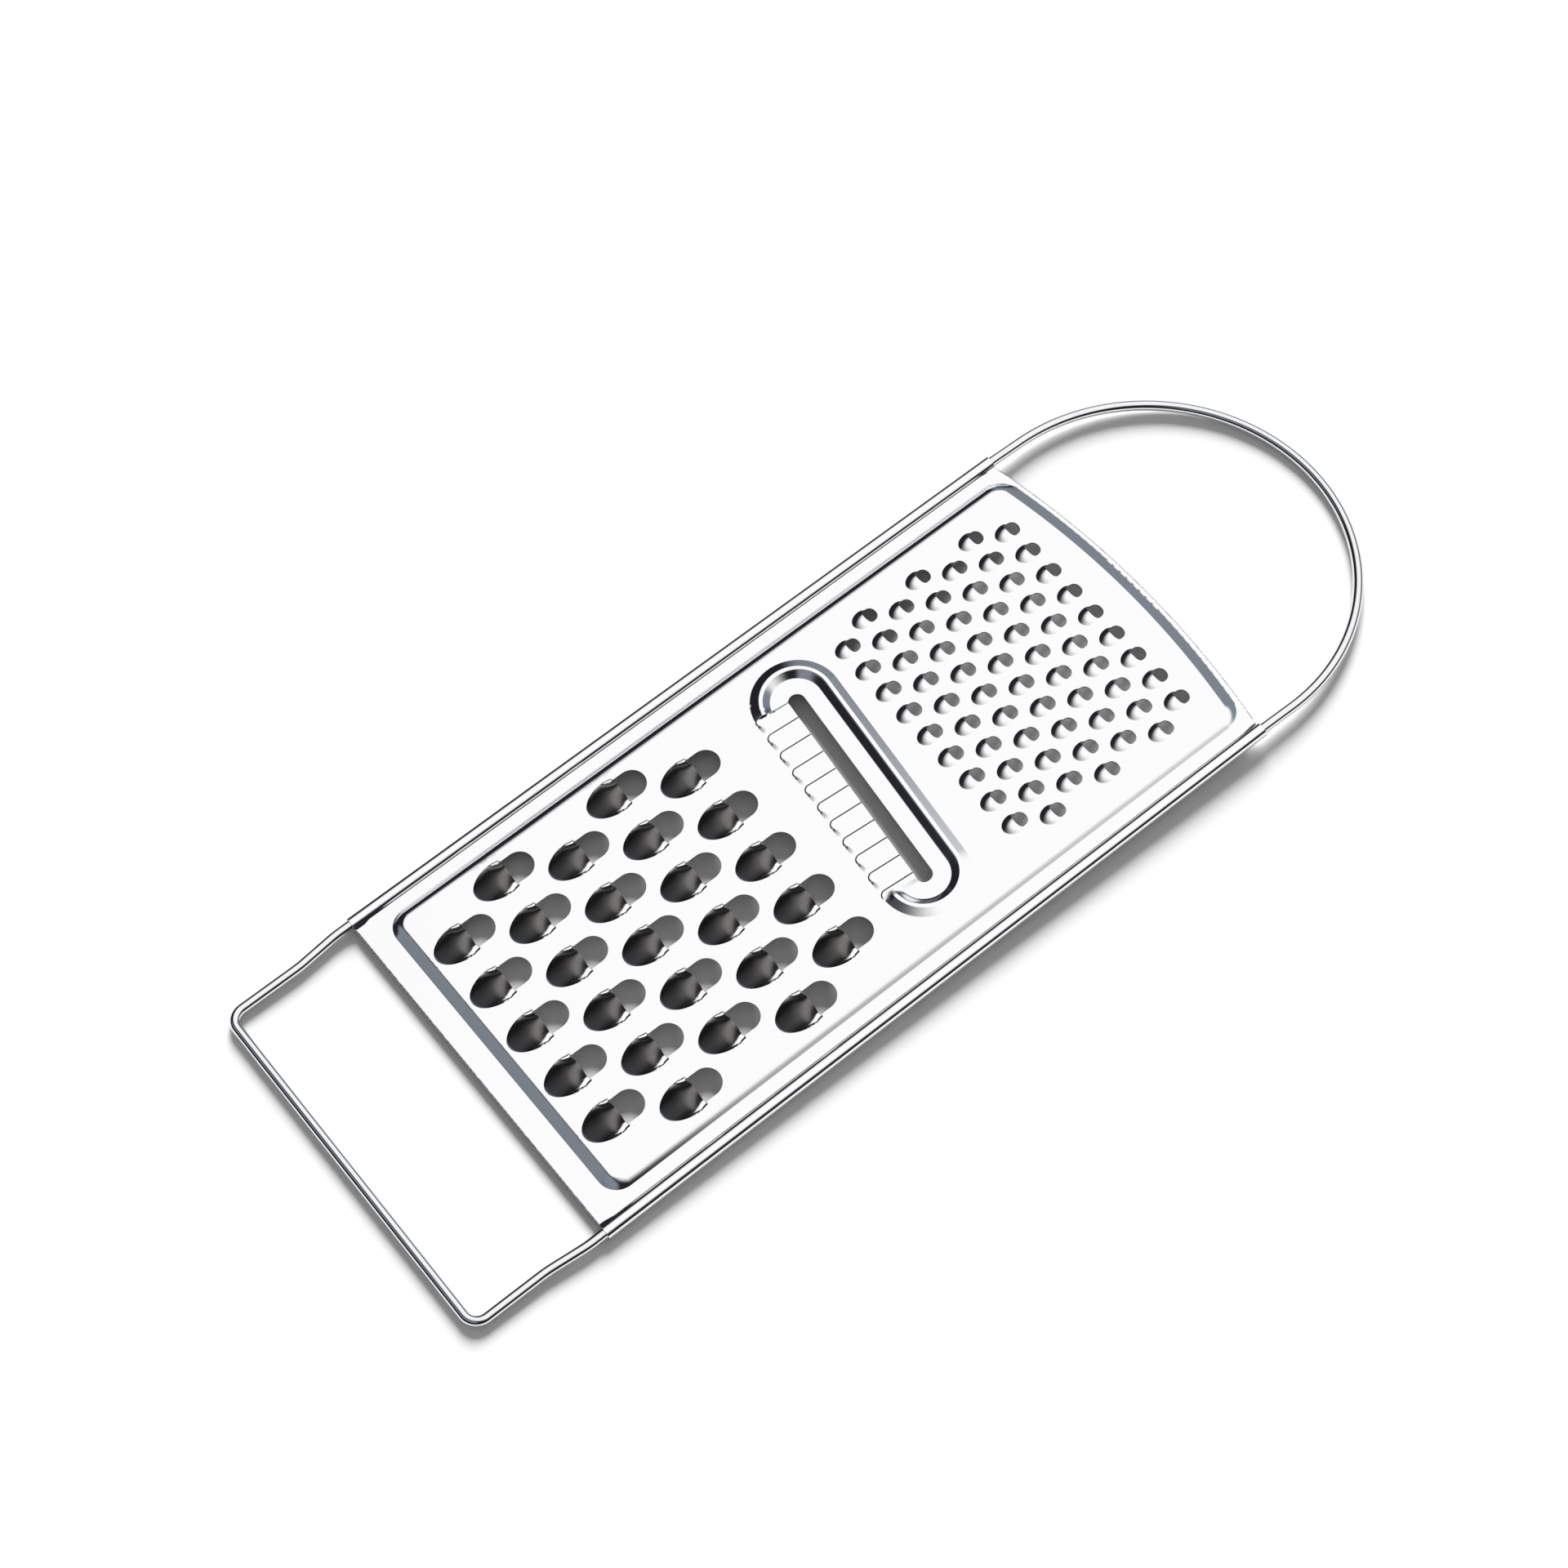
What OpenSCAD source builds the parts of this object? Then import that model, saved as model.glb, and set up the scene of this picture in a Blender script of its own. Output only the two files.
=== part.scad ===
// Flat three-way grater: one stamped steel plate whose long edges are rolled round
// a bent wire. The wire is the arched handle at one end and the foot loop at the other.
// Sizes are in millimetres. X runs from foot to handle, Y across, Z up.
// The origin is under the middle of the whole grater, level with its lowest point.

/* [Plate] */
// Thickness of the steel sheet
sheet_thickness = 0.45; // [0.3:0.05:0.6]
// Length of the plate along its rolled edges
plate_length = 189.5; // [160:0.5:230]
// Radius of the outward bow of the plate's handle edge
plate_bow_radius = 242; // [180:1:400]
// Distance by which the bowed edge starts behind the ends of the rolled edges
plate_bow_setback = 0.1; // [0.1:0.05:0.5]
// Height of the flat margin's top face above the middle of the rolled edge
margin_offset = 0.4; // [0.3:0.05:0.8]
// Gap left where the rolled edge ends under the margin
hem_gap = 0.5; // [0.2:0.05:0.8]

/* [Wire] */
// Thickness of the wire
wire_diameter = 2.6; // [2:0.1:3.2]
// Space between the wire and the inside of the rolled edge, all round
wire_clearance = 0.05; // [0.02:0.01:0.15]
// Distance between the wire's two long runs, middle to middle
wire_spacing = 96.4; // [95:0.2:130]
// Distance from the plate's foot edge to the middle of the foot bar
foot_reach = 34.4; // [28:0.1:60]
// How far each wire steps inward between the plate and the foot bar
foot_step = 1.1; // [0.5:0.05:2]
// Angle of the inward step, in degrees
foot_step_angle = 6; // [4:0.5:12]
// Bend radius at both ends of the inward step
foot_step_bend = 30; // [6:1:40]
// Straight wire between the plate's foot edge and the inward step
foot_lead = 3; // [1:0.5:5]
// Bend radius of the two foot corners, at the middle of the wire
foot_corner_radius = 3.5; // [2.5:0.5:6]
// Straight wire between the rolled edge and the handle's downward bend
handle_lead = 0.7; // [0.2:0.1:5]
// Radius of the handle's downward bend
handle_bend_radius = 12; // [6:1:40]
// Angle by which the handle bends down, in degrees
handle_droop = 3; // [1:0.5:12]
// Straight wire between the downward bend and the arch
handle_leg = 8; // [5:0.1:40]
// How much the wire's radius shrinks where it is bent
bend_thinning = 0.02; // [0.01:0.01:0.04]

/* [Raised panel] */
// Height of the panel above the flat margin
panel_rise = 1.4; // [0.8:0.1:2.4]
// Width of the sloping wall round the panel
panel_wall = 2.6; // [2:0.1:3.2]
// Distance from the wire's middle to the foot of the panel's side wall
panel_side_inset = 4.8; // [3.8:0.1:5]
// Distance from the plate's foot edge to the panel wall
panel_foot_inset = 5.9; // [4:0.1:6.4]
// Distance from the top of the bowed handle edge to the panel wall
panel_handle_inset = 0.9; // [0.8:0.1:2]
// Radius of the bow of the panel's handle wall
panel_bow_radius = 225; // [180:1:400]
// Radius of the panel's corners, at the outside of the wall
panel_corner_radius = 5.2; // [4:0.1:10]
// How much each face of the sheet thins where it is drawn round a corner
corner_thinning = 0.01; // [0.01:0.01:0.04]
// Distance by which both fields of teeth sit to the right of the middle
teeth_offset = 0.5; // [0:0.05:1]

/* [Coarse teeth] */
// Number of rows of coarse teeth
coarse_rows = 5; // [1:1:5]
// Number of coarse teeth in the longer rows; the rows between have one fewer
coarse_count = 6; // [2:1:6]
// Distance from one coarse row to the next, as a share of the plate's length
coarse_row_share = 0.0853; // [0.08:0.0001:0.087]
// Distance from tooth to tooth in a coarse row
coarse_pitch = 13.97; // [10:0.01:14.5]
// Distance from the foot edge to the first row's cutting edges, as a share of the plate's length
coarse_start_share = 0.0982; // [0.097:0.0001:0.104]
// Width of a coarse tooth where it meets the panel
coarse_tooth_width = 7.4; // [6:0.1:8]
// Height of a coarse cutting edge above the panel
coarse_tooth_height = 2.55; // [1.8:0.05:2.8]
// Length of a coarse tooth up to its cutting edge, as a share of the distance between rows
coarse_tooth_share = 0.5568; // [0.48:0.0001:0.565]
// Width of a coarse hole beside its cutting edge
coarse_hole_width = 7; // [6:0.1:7.1]
// Length of a coarse hole from the cutting edge on, as a share of the distance between rows
coarse_hole_share = 0.4207; // [0.36:0.0001:0.425]
// How much wider a coarse hole gets at its round end, on each side
coarse_hole_swell = 0.1; // [0.05:0.05:0.3]

/* [Fine teeth] */
// Number of rows of fine teeth
fine_rows = 7; // [1:1:7]
// Number of fine teeth in the longer rows; the rows between have one fewer
fine_count = 10; // [2:1:10]
// Distance from one fine row to the next, as a share of the plate's length
fine_row_share = 0.04287; // [0.037:0.00001:0.0435]
// Distance from tooth to tooth in a fine row
fine_pitch = 7.52; // [5.5:0.01:7.8]
// Distance from the foot edge to the first row's cutting edges, as a share of the plate's length
fine_start_share = 0.6887; // [0.684:0.0001:0.692]
// Width of a fine tooth where it meets the panel
fine_tooth_width = 4.3; // [3.4:0.1:4.8]
// Height of a fine cutting edge above the panel
fine_tooth_height = 0.95; // [0.7:0.05:1.3]
// Length of a fine tooth up to its cutting edge, as a share of the distance between rows
fine_tooth_share = 0.3816; // [0.32:0.0001:0.39]
// Width of a fine hole beside its cutting edge
fine_hole_width = 3.7; // [3:0.1:3.8]
// Length of a fine hole from the cutting edge on, as a share of the distance between rows
fine_hole_share = 0.3939; // [0.32:0.0001:0.42]
// How much wider a fine hole gets at its round end, on each side
fine_hole_swell = 0.1; // [0.05:0.05:0.2]

/* [Slicer] */
// Distance from the foot edge to the middle of the slicer, as a share of the plate's length
slicer_start_share = 0.58074; // [0.578:0.0001:0.583]
// Distance by which the slicer sits to the left of the middle
slicer_offset = 0.3; // [0:0.05:1]
// Angle by which the slicer leans from square, in degrees
slicer_lean = 6.4; // [3:0.1:7]
// Half the outer width of the slicer, the radius of its two round ends
slicer_radius = 11.1; // [10.6:0.1:11.5]
// Height of the slicer's rim above the panel
rim_rise = 0.8; // [0.5:0.05:1.2]
// Width of the rim's outer slope
rim_slope = 2.2; // [1.6:0.1:2.6]
// Width of the flat top of the rim
rim_top = 0.9; // [0.6:0.1:1.2]
// Depth of the step from the rim down to the land before the slot
land_drop = 1.3; // [0.9:0.05:1.5]
// Width of the step's slope
land_slope = 2; // [1.4:0.1:2.4]
// Width of the slot in front of the blade
slot_width = 4.2; // [3:0.1:5]
// Number of flutes in the crinkle blade
flute_count = 10; // [4:1:10]
// Distance from flute to flute
flute_pitch = 5.37; // [4:0.01:5.4]
// Height of a flute from its valley to its crest
flute_height = 0.7; // [0.3:0.05:0.85]

/* [Hidden] */
$fa = 6;
$fs = 0.1;

// How far one formed strip laps onto the flat sheet beside it
lap = 0.4;
// How far a cutting shape runs past the face that it cuts
overrun = 0.2;
// How far a straight length runs into the bend beside it, so that they join
joint_lap = 0.05;
// Straight steps used for one rounded corner, for the bow and for one flute
corner_steps = 8;
bow_steps = 16;
flute_steps = 10;

wire_radius = wire_diameter / 2;
hem_bore_radius = wire_radius + wire_clearance;
hem_radius = hem_bore_radius + sheet_thickness;
half_spacing = wire_spacing / 2;

// Heights over the middle of the rolled edge
margin_bottom = margin_offset - sheet_thickness;
panel_bottom = margin_bottom + panel_rise;
panel_top = panel_bottom + sheet_thickness;

// Sheet edge beside each hem, in the middle of the hem's own wall
sheet_half_width = half_spacing - hem_bore_radius - sheet_thickness / 2;
plate_bow_rise = plate_bow_radius - sqrt(pow(plate_bow_radius, 2) - pow(sheet_half_width, 2));
plate_bow_top = plate_length - plate_bow_setback + plate_bow_rise;
plate_bow_middle = plate_bow_top - plate_bow_radius;

// Panel wall: its bowed run, and the middles of its four corners
panel_half_width = half_spacing - panel_side_inset;
panel_bow_middle = plate_bow_top - panel_handle_inset - panel_bow_radius;
panel_corner_y = panel_half_width - panel_corner_radius;
bow_to_corner = panel_bow_radius - panel_corner_radius;
panel_bow_angle = asin(panel_corner_y / bow_to_corner);
panel_foot_corner_x = panel_foot_inset + panel_corner_radius;
panel_handle_corner_x = panel_bow_middle + bow_to_corner * cos(panel_bow_angle);

// Wire path
foot_bend_shift = foot_step_bend * (1 - cos(foot_step_angle));
foot_slant = (foot_step - foot_bend_shift * 2) / sin(foot_step_angle);
foot_step_length = foot_step_bend * sin(foot_step_angle) * 2 + foot_slant * cos(foot_step_angle);
foot_half_spacing = half_spacing - foot_step;
foot_corner_y = foot_half_spacing - foot_corner_radius;
foot_corner_x = foot_corner_radius - foot_reach;
foot_leg = -foot_corner_x - foot_lead - foot_step_length;
handle_bend_x = plate_length + handle_lead;
arch_start_x = handle_bend_x + handle_bend_radius * sin(handle_droop);
arch_start_z = handle_bend_radius * cos(handle_droop) - handle_bend_radius;
arch_reach = handle_leg + half_spacing;

// The grater's own ends and lowest point, which place the origin
foot_end = -foot_reach - wire_radius;
handle_end = arch_start_x + arch_reach * cos(handle_droop) + wire_radius;
lowest_point = arch_start_z - arch_reach * sin(handle_droop) - wire_radius;
middle_x = (foot_end + handle_end) / 2;

// Tooth rows and holes
coarse_row_pitch = plate_length * coarse_row_share;
coarse_start = plate_length * coarse_start_share;
coarse_tooth_length = coarse_row_pitch * coarse_tooth_share;
coarse_hole_length = coarse_row_pitch * coarse_hole_share;
coarse_hole_end = coarse_hole_width / 2 + coarse_hole_swell;
fine_row_pitch = plate_length * fine_row_share;
fine_start = plate_length * fine_start_share;
fine_tooth_length = fine_row_pitch * fine_tooth_share;
fine_hole_length = fine_row_pitch * fine_hole_share;
fine_hole_end = fine_hole_width / 2 + fine_hole_swell;

// Slicer: the flutes fill the straight part between its two round ends
slicer_start = plate_length * slicer_start_share;
slicer_length = flute_count * flute_pitch;
slot_edge = slot_width / 2;
rim_edge = slicer_radius - rim_slope;
step_edge = rim_edge - rim_top;
land_edge = step_edge - land_slope;
land_rise = rim_rise - land_drop;
flute_swing = flute_height / 2;

// Points of an arc round a middle, from one angle to another
function arc(middle, radius, from, to, steps) = [
    for (i = [0 : steps])
        let (a = from + (to - from) * i / steps)
            [middle[0] + radius * cos(a), middle[1] + radius * sin(a)]
];

// Outline that follows the panel wall, moved outward by a given distance
function panel_outline(out) = concat(
    arc([panel_foot_corner_x, panel_corner_y], panel_corner_radius + out, 180, 90, corner_steps),
    arc([panel_handle_corner_x, panel_corner_y], panel_corner_radius + out,
        90, panel_bow_angle, corner_steps),
    arc([panel_bow_middle, 0], panel_bow_radius + out, panel_bow_angle, -panel_bow_angle, bow_steps),
    arc([panel_handle_corner_x, -panel_corner_y], panel_corner_radius + out,
        -panel_bow_angle, -90, corner_steps),
    arc([panel_foot_corner_x, -panel_corner_y], panel_corner_radius + out, 270, 180, corner_steps)
);

// Outline with two straight sides and two round ends, as wide as the slicer plus a lap
function slicer_outline(radius) = concat(
    arc([0, slicer_length / 2], radius, 0, 180, 2 * corner_steps),
    arc([0, -slicer_length / 2], radius, 180, 360, 2 * corner_steps)
);

// A band of sheet: its top line, then its under line backwards, each drawn in by the thinning
function band(line, thinning) = concat(
    [for (p = line) [p[0], p[1] + sheet_thickness - thinning]],
    [for (i = [len(line) - 1 : -1 : 0]) [line[i][0], line[i][1] + thinning]]
);

// Sections of the formed strips: distance outward, height of the under face
panel_wall_line = [
    [lap, 0],
    [0, 0],
    [-panel_wall, panel_rise],
    [-panel_wall - lap, panel_rise]
];
rim_outer_line = [
    [slicer_radius + lap, 0],
    [slicer_radius, 0],
    [rim_edge, rim_rise],
    [rim_edge - lap, rim_rise]
];
rim_full_line = [
    [slicer_radius + lap, 0],
    [slicer_radius, 0],
    [rim_edge, rim_rise],
    [step_edge, rim_rise],
    [land_edge, land_rise],
    [slot_edge, land_rise]
];

// Section of the crinkle blade, along the slot: broad crests with narrow valleys between
flute_line = [
    for (i = [0 : flute_steps * flute_count])
        [i * flute_pitch / flute_steps - slicer_length / 2,
            rim_rise - flute_swing + flute_height * abs(sin(180 * i / flute_steps))]
];

// Moves a node from the plate's own corner to the grater's origin
module placed() {
    translate([-middle_x, 0, -lowest_point])
        children();
}

// Straight strip of formed sheet: section outward along X, length along Y
module strip(line, length) {
    translate([0, length / 2 + joint_lap, 0])
        rotate([90, 0, 0])
            linear_extrude(height = length + joint_lap * 2)
                polygon(band(line, 0));
}

// Curved strip of formed sheet, its section pushed out to a radius
module turn(line, radius, from, to, thinning) {
    rotate([0, 0, from])
        rotate_extrude(angle = to - from)
            translate([radius, 0])
                polygon(band(line, thinning));
}

module plate_outline() {
    intersection() {
        translate([0, -sheet_half_width])
            square([plate_bow_top + overrun, sheet_half_width * 2]);
        translate([plate_bow_middle, 0])
            circle(r = plate_bow_radius, $fn = 720);
    }
}

// Flat margin all round the panel
module margin() {
    translate([0, 0, margin_bottom])
        linear_extrude(height = sheet_thickness)
            difference() {
                plate_outline();
                polygon(panel_outline(lap / 2));
            }
}

// Sloping wall between the margin and the panel
module panel_walls() {
    side_length = panel_handle_corner_x - panel_foot_corner_x;
    bow_reach = panel_bow_angle + atan(joint_lap / panel_bow_radius);
    translate([0, 0, margin_bottom]) {
        translate([panel_foot_inset, 0, 0])
            rotate([0, 0, 180])
                strip(panel_wall_line, panel_corner_y * 2);
        translate([panel_bow_middle, 0, 0])
            turn(panel_wall_line, panel_bow_radius, -bow_reach, bow_reach, 0);
        for (side = [-1, 1]) {
            translate([panel_foot_corner_x + side_length / 2, side * panel_half_width, 0])
                rotate([0, 0, side * 90])
                    strip(panel_wall_line, side_length);
        }
        for (side = [0, 1])
            mirror([0, side, 0]) {
                translate([panel_foot_corner_x, panel_corner_y, 0])
                    turn(panel_wall_line, panel_corner_radius, 90, 180, corner_thinning);
                translate([panel_handle_corner_x, panel_corner_y, 0])
                    turn(panel_wall_line, panel_corner_radius, panel_bow_angle, 90, corner_thinning);
            }
    }
}

// Puts a child at every tooth of a field; every second row has one tooth more
module tooth_field(rows, count, row_pitch, pitch, start) {
    for (row = [0 : rows - 1]) {
        teeth = row % 2 == 0 ? count - 1 : count;
        for (i = [0 : teeth - 1])
            translate([
                start + row * row_pitch,
                (i - (teeth - 1) / 2) * pitch - teeth_offset,
                panel_top
            ])
                children();
    }
}

// Round bar that leans up towards the cutting edge; its crown leaves the sheet
// one tooth length before the edge and is one tooth height above it at the edge
module leaning_bar(width, height, length, inset) {
    radius = (pow(width / 2, 2) + pow(height, 2)) / (2 * height);
    lean = atan(height / length);
    reach = (height + sheet_thickness) / sin(lean) + overrun;
    translate([0, 0, height])
        rotate([0, -lean, 0])
            translate([overrun, 0, -radius])
                rotate([0, -90, 0])
                    cylinder(h = reach + overrun, r = radius - inset);
}

// Outside of one raised tooth, cut square at its cutting edge and flush below
module tooth_shell(width, height, length) {
    reach = length * 2;
    intersection() {
        leaning_bar(width, height, length, 0);
        translate([-reach, -width, -sheet_thickness])
            cube([reach, width * 2, height + sheet_thickness + overrun]);
    }
}

// Hole in front of a cutting edge: straight at the edge, round at the far end
module tooth_hole(width, length, end_radius) {
    depth = sheet_thickness + overrun * 2;
    translate([0, 0, -sheet_thickness - overrun]) {
        translate([0, -width / 2, 0])
            cube([length - end_radius, width, depth]);
        translate([length - end_radius, 0, 0])
            cylinder(h = depth, r = end_radius);
    }
}

module coarse_field() {
    tooth_field(coarse_rows, coarse_count, coarse_row_pitch, coarse_pitch, coarse_start)
        children();
}

module fine_field() {
    tooth_field(fine_rows, fine_count, fine_row_pitch, fine_pitch, fine_start)
        children();
}

// Puts a child at the slicer, X towards the handle, Y along the slot
module at_slicer() {
    translate([slicer_start, slicer_offset, 0])
        rotate([0, 0, -slicer_lean])
            children();
}

// Flat part of the raised panel, with the slicer's place cut out
module panel_sheet() {
    translate([0, 0, panel_bottom])
        linear_extrude(height = sheet_thickness)
            difference() {
                polygon(panel_outline(-panel_wall - lap / 2));
                at_slicer()
                    polygon(slicer_outline(slicer_radius + lap / 2));
            }
}

// Panel with its raised teeth, hollow below, and a hole in front of each
module toothed_panel() {
    difference() {
        union() {
            panel_sheet();
            coarse_field()
                tooth_shell(coarse_tooth_width, coarse_tooth_height, coarse_tooth_length);
            fine_field()
                tooth_shell(fine_tooth_width, fine_tooth_height, fine_tooth_length);
        }
        coarse_field() {
            leaning_bar(coarse_tooth_width, coarse_tooth_height, coarse_tooth_length,
                sheet_thickness);
            tooth_hole(coarse_hole_width, coarse_hole_length, coarse_hole_end);
        }
        fine_field() {
            leaning_bar(fine_tooth_width, fine_tooth_height, fine_tooth_length, sheet_thickness);
            tooth_hole(fine_hole_width, fine_hole_length, fine_hole_end);
        }
    }
}

// Crinkle blade: a fluted sheet from the rim's outer slope to the slot
module crinkle_blade() {
    translate([-slot_edge, 0, 0])
        rotate([90, 0, -90])
            linear_extrude(height = rim_edge - slot_edge)
                polygon([for (p = band(flute_line, 0)) [-p[0], p[1]]]);
}

// Upright web that closes the blade's end down to the land
module blade_end() {
    web_height = land_drop - flute_swing + sheet_thickness;
    translate([-rim_edge, slicer_length / 2 - sheet_thickness, land_rise])
        cube([rim_edge - slot_edge, sheet_thickness + joint_lap, web_height]);
}

// Raised rim, sunk land, slot and crinkle blade
module slicer() {
    translate([0, 0, panel_bottom])
        at_slicer() {
            strip(rim_full_line, slicer_length);
            translate([0, slicer_length / 2, 0])
                turn(rim_full_line, 0, 0, 180, corner_thinning);
            translate([0, -slicer_length / 2, 0])
                turn(rim_full_line, 0, 180, 360, corner_thinning);
            rotate([0, 0, 180])
                strip(rim_outer_line, slicer_length);
            crinkle_blade();
            for (side = [0, 1])
                mirror([0, side, 0])
                    blade_end();
        }
}

// Long edge of the sheet, rolled round the wire, open by a narrow gap below
module hem() {
    translate([0, half_spacing, 0])
        difference() {
            rotate([0, 90, 0])
                cylinder(h = plate_length, r = hem_radius);
            translate([-overrun, 0, 0])
                rotate([0, 90, 0])
                    cylinder(h = plate_length + overrun * 2, r = hem_bore_radius);
            translate([-overrun, -hem_radius - overrun, margin_bottom - hem_gap])
                cube([plate_length + overrun * 2, hem_radius + overrun, hem_gap]);
        }
}

module grating_plate() {
    color("silver")
        placed() {
            margin();
            panel_walls();
            toothed_panel();
            slicer();
            hem();
            mirror([0, 1, 0])
                hem();
        }
}

// Straight length of wire that starts at the origin and runs towards the handle
module wire_run(length) {
    translate([-joint_lap, 0, 0])
        rotate([0, 90, 0])
            cylinder(h = length + joint_lap * 2, r = wire_radius);
}

// Flat bend of wire about the origin, from one angle to another
module wire_bend(radius, from, to) {
    rotate([0, 0, from])
        rotate_extrude(angle = to - from)
            translate([radius, 0])
                circle(r = wire_radius - bend_thinning);
}

// Inward step of one wire: two equal bends with a slanted length between them.
// It starts at the origin, in line with X, and runs back towards the foot.
module foot_step_wire() {
    translate([0, -foot_step_bend, 0])
        wire_bend(foot_step_bend, 90, 90 + foot_step_angle);
    translate([-foot_step_length, foot_step_bend - foot_step, 0])
        wire_bend(foot_step_bend, -90, foot_step_angle - 90);
    translate([-foot_step_length / 2, -foot_step / 2, 0])
        rotate([0, 0, foot_step_angle])
            translate([-foot_slant / 2, 0, 0])
                wire_run(foot_slant);
}

// One side of the frame, from the foot corner to the start of the arch
module wire_side() {
    translate([foot_corner_x, foot_corner_y, 0])
        wire_bend(foot_corner_radius, 90, 180);
    translate([foot_corner_x, foot_half_spacing, 0])
        wire_run(foot_leg);
    translate([-foot_lead, half_spacing, 0])
        foot_step_wire();
    translate([-foot_lead, half_spacing, 0])
        wire_run(foot_lead + handle_bend_x);
    translate([handle_bend_x, half_spacing, -handle_bend_radius])
        rotate([90, 0, 0])
            wire_bend(handle_bend_radius, 90 - handle_droop, 90);
    translate([arch_start_x, half_spacing, arch_start_z])
        rotate([0, handle_droop, 0])
            wire_run(handle_leg);
}

// Straight bar across the foot
module foot_bar() {
    translate([-foot_reach, 0, 0])
        rotate([0, 0, 90])
            translate([-foot_corner_y, 0, 0])
                wire_run(foot_corner_y * 2);
}

// Round arch of the handle, in its own drooping plane
module handle_arch() {
    translate([arch_start_x, 0, arch_start_z])
        rotate([0, handle_droop, 0])
            translate([handle_leg, 0, 0])
                wire_bend(half_spacing, -90, 90);
}

module wire_frame() {
    color("gainsboro")
        placed() {
            wire_side();
            mirror([0, 1, 0])
                wire_side();
            foot_bar();
            handle_arch();
        }
}

grating_plate();
wire_frame();
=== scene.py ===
import math
import bpy
import numpy as np
from mathutils import Matrix, Vector
from mathutils.geometry import delaunay_2d_cdt
from mathutils.kdtree import KDTree


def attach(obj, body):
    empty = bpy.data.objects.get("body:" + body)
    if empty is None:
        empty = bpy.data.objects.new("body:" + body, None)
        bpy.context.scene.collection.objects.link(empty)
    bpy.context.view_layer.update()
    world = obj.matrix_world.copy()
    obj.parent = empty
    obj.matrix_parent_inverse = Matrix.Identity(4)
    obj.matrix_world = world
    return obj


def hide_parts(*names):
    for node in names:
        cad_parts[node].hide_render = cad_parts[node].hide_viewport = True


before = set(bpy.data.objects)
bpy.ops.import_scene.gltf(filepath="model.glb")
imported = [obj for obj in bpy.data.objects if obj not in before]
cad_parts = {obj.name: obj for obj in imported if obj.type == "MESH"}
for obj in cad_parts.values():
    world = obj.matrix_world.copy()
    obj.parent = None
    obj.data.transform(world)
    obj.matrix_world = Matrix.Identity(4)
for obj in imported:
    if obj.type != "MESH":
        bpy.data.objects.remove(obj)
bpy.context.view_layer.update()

MM = 0.001

# Sizes in millimetres, in the plate's own frame: x from the foot edge towards the
# handle, y across, to the left as seen from the foot, z over the middle of the rolled edges.
SHEET = 0.45
PLATE_LENGTH = 189.5
HALF_SPACING = 48.2
WIRE_R = 1.3
HEM_MID_R = 1.575
MARGIN_MID = 0.175
PANEL_RISE = 1.4
BOW_R = 242.0
BOW_SETBACK = 0.1
ORIGIN_X = 106.2755
ORIGIN_Z = -4.25773

# Fields of teeth: start is the first cutting edge, reach is how far a tooth's middle lies
# before its edge
COARSE = dict(rows=5, count=6, row=16.165, pitch=13.97, start=18.6, reach=2.0)
FINE = dict(rows=7, count=10, row=8.124, pitch=7.52, start=130.5, reach=0.6)
TEETH_Y = -0.5
COARSE_END = 98.0
FINE_START = 122.0

# A coarse tooth: its egg-shaped footprint, its hood, the shelf round it, half the width of
# its hole and the hole's length
EGG_LENGTH = 9.0
EGG_HALF = 4.2
HOOD_HALF = 3.75
HOOD_HEIGHT = 2.55
SHELF_HEIGHT = 0.42
COARSE_HOLE_W = 3.6
COARSE_HOLE_L = 6.8

# A fine tooth: a low dome that reaches before and beyond its cutting edge, and its hole
FINE_HEIGHT = 0.8
FINE_REACH = (3.3, 2.2)
FINE_HALF = 2.45
FINE_HOLE_W = 1.9
FINE_HOLE_L = 3.3

# The slicer: a ring with a land inside it, a slot, and a blade with crinkle fingers
SLICER_AT = (109.8, -0.2)
SLICER_LEAN = math.radians(6.4)
SLICER_LEN = 53.7
SLICER_R = 11.1
RIM_HEIGHT = 0.9
RIM_WIDTH = 2.4
LAND_R = 8.25
LAND_DROP = 1.3
LAND_WIDTH = 2.05
BLADE_RISE = 0.4
SLOT_R = 2.1
FLUTES = 10
FLUTE_PITCH = 5.37
FINGER_END = -11.2
FINGER_SHIFT = 1.45
FINGER_CORNER = 1.6
FINGER_STEP = 0.25

# The wire: its foot corners, its stepped legs and its drooping handle
FOOT_REACH = 34.4
FOOT_CORNER = 3.5
LEG_STEP = 1.1
LEG_TURN = math.radians(6)
LEG_BEND = 30.0
LEG_END = -3.0
DROOP = 3.0
DROOP_START = 190.2
DROOP_BEND = 12
HANDLE_LEG = 8.0
WIRE_SIDES = 32

# Half the flat width, between the fillets of the two rolled edges, and the bowed handle edge
FILLET = 0.35
flat_half = HALF_SPACING - math.sqrt((HEM_MID_R + FILLET) ** 2 - (MARGIN_MID + FILLET) ** 2)
bow_rise = BOW_R - math.sqrt(BOW_R ** 2 - (HALF_SPACING - HEM_MID_R) ** 2)
bow_top = PLATE_LENGTH - BOW_SETBACK + bow_rise
bow_x = bow_top - BOW_R

# The panel's outline, at the outside of its wall
PANEL_SIDE = 43.4
PANEL_FOOT = 5.9
PANEL_CORNER = 5.2
PANEL_BOW = 225.0
PANEL_HEAD = 0.9
WALL = 3.4
FOOT_WALL_LESS = 0.5
panel_bow_x = bow_top - PANEL_HEAD - PANEL_BOW

# The sheared edges' rolled-over rim
EDGE_ROLL = 0.15
EDGE_ROLL_WIDTH = 0.36


def smoothstep(x):
    """0 to 1 over x 0..1, level at both ends."""
    x = np.clip(x, 0.0, 1.0)
    return x * x * (3.0 - 2.0 * x)


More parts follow.
